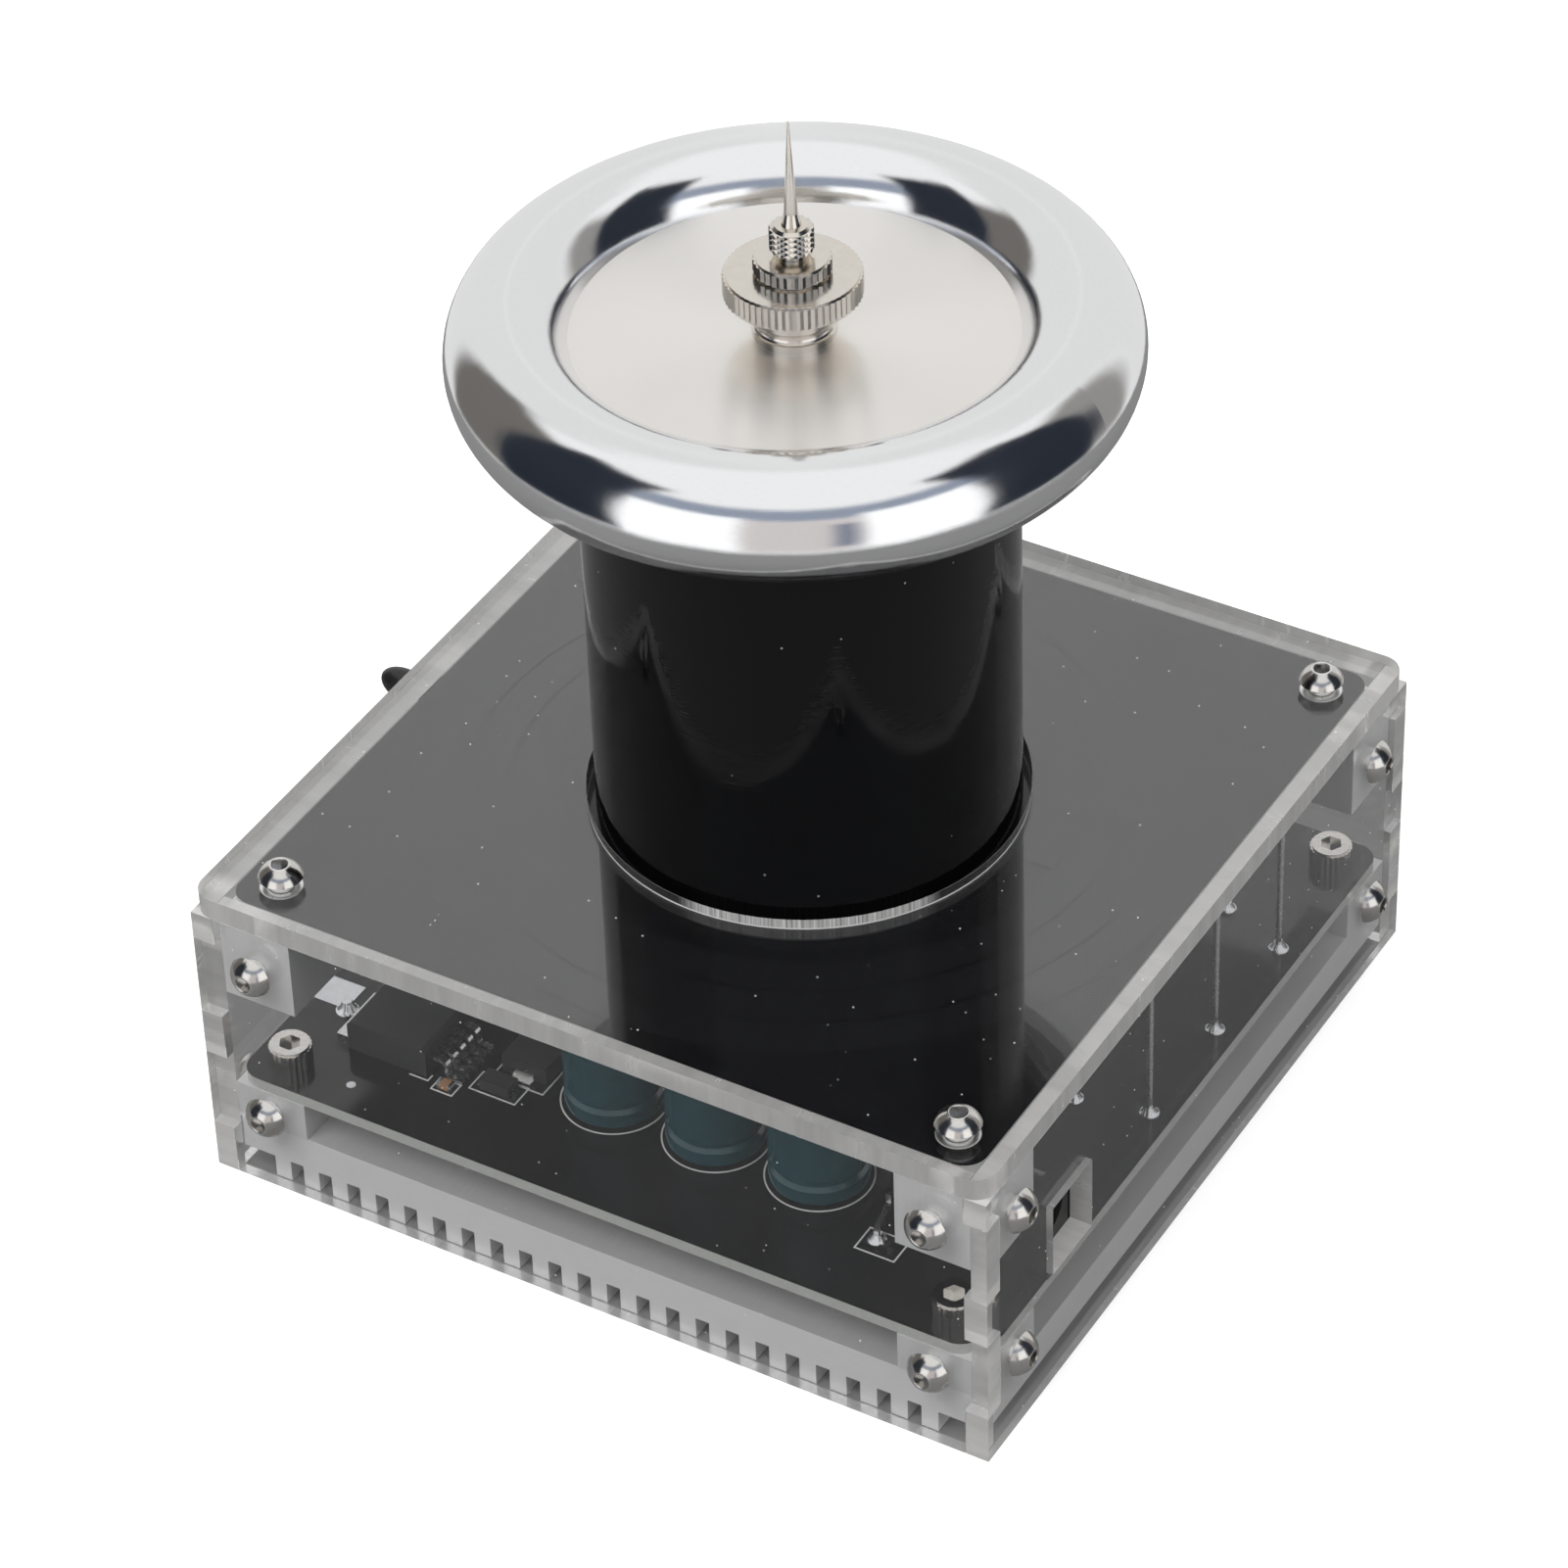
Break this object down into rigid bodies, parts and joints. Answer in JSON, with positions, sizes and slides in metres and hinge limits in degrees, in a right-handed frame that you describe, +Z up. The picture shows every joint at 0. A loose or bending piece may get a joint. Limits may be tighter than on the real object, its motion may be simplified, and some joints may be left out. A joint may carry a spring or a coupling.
{
  "type": "desktop resonant transformer",
  "caption": "Clear square case with circuit boards over a finned heat sink; a tall black coil stands in its top plate under a polished toroid, a disc and a needle terminal.",
  "frame": {"origin": "middle of the case's underside, on the bottom of the middle fin", "axes": "+Z up along the coil, -Y to the front wall, +X to the wall with the power socket"},
  "size_m": [0.1267, 0.1134, 0.1399],
  "materials": {
    "clear_sheet": "clear polished sheet with laser-cut edges",
    "extruded_aluminium": "plain extruded",
    "block_aluminium": "matt",
    "black_board": "black solder mask",
    "mask_copper": "copper under black solder mask",
    "white_ink": "printed outlines",
    "screw_steel": "bright stainless",
    "can_aluminium": "satin",
    "teal_film": "shrink sleeve",
    "black_epoxy": "moulded",
    "tinned": "tinned copper",
    "ceramic": "sintered",
    "solder": "bright solder",
    "copper_wire": "enamelled",
    "black_plastic": "moulded",
    "blue_plastic": "moulded",
    "nickel": "bright nickel plate",
    "pad_grey": "thermal pad",
    "white_plastic": "plain tube",
    "gloss_black": "high gloss over fine winding",
    "polished_aluminium": "polished",
    "brushed_aluminium": "fine turned grain"
  },
  "bodies": {
    "case": {"front_wall": "clear_sheet", "back_wall": "clear_sheet", "left_wall": "clear_sheet", "right_wall": "clear_sheet", "top_plate": "clear_sheet", "heat_sink": "extruded_aluminium", "lower_corner_blocks": "block_aluminium", "upper_corner_blocks": "block_aluminium", "driver_board": "black_board", "board_outlines": "white_ink", "primary_board": "black_board", "primary_track": "mask_copper", "short_screws": "screw_steel", "plate_screws": "screw_steel", "board_screws": "screw_steel", "capacitor_cans": "can_aluminium", "capacitor_sleeves": "teal_film", "driver_chip": "black_epoxy", "driver_chip_tab": "tinned", "driver_chip_leads": "tinned", "rectifier": "black_epoxy", "rectifier_leads": "tinned", "signal_diode": "black_epoxy", "signal_diode_leads": "tinned", "chip_capacitor": "ceramic", "chip_capacitor_ends": "tinned", "solder_joints": "solder", "link_wires": "tinned", "secondary_lead": "copper_wire", "bent_lead": "tinned", "dc_jack": "black_plastic", "jack_pin": "nickel", "jack_terminals": "tinned", "switch_body": "blue_plastic", "switch_bushing": "nickel", "switch_washer": "nickel", "switch_nut": "nickel", "switch_terminals": "tinned", "power_transistors": "black_epoxy", "transistor_tabs": "tinned", "transistor_leads": "tinned", "thermal_pads": "pad_grey", "coil_foot": "black_plastic", "coil_former": "white_plastic", "secondary_winding": "copper_wire", "coil_sleeve": "gloss_black", "coil_top_plug": "black_plastic", "stud_nut": "screw_steel", "toroid_ring": "polished_aluminium", "toroid_disc": "brushed_aluminium", "terminal_stud": "nickel", "terminal_collar": "nickel"},
    "lever": {"switch_lever": "nickel", "lever_cap": "black_plastic"},
    "thumb_nut": {"thumb_nut": "nickel"},
    "lock_nut": {"lock_nut": "nickel"},
    "needle": {"discharge_needle": "nickel"}
  },
  "joints": [
    {"name": "lever_swing", "type": "hinge", "parent": "case", "child": "lever", "pos_m": [-0.05645, 0.0093, 0.025], "axis": [0, -1, 0], "range_deg": [0, 25]},
    {"name": "thumb_nut_turn", "type": "hinge", "parent": "case", "child": "thumb_nut", "pos_m": [0, 0, 0.1179], "axis": [0, 0, 1], "continuous": true},
    {"name": "lock_nut_turn", "type": "hinge", "parent": "case", "child": "lock_nut", "pos_m": [0, 0, 0.1206], "axis": [0, 0, 1], "continuous": true},
    {"name": "needle_turn", "type": "hinge", "parent": "case", "child": "needle", "pos_m": [0, 0, 0.1241], "axis": [0, 0, 1], "continuous": true}
  ]
}
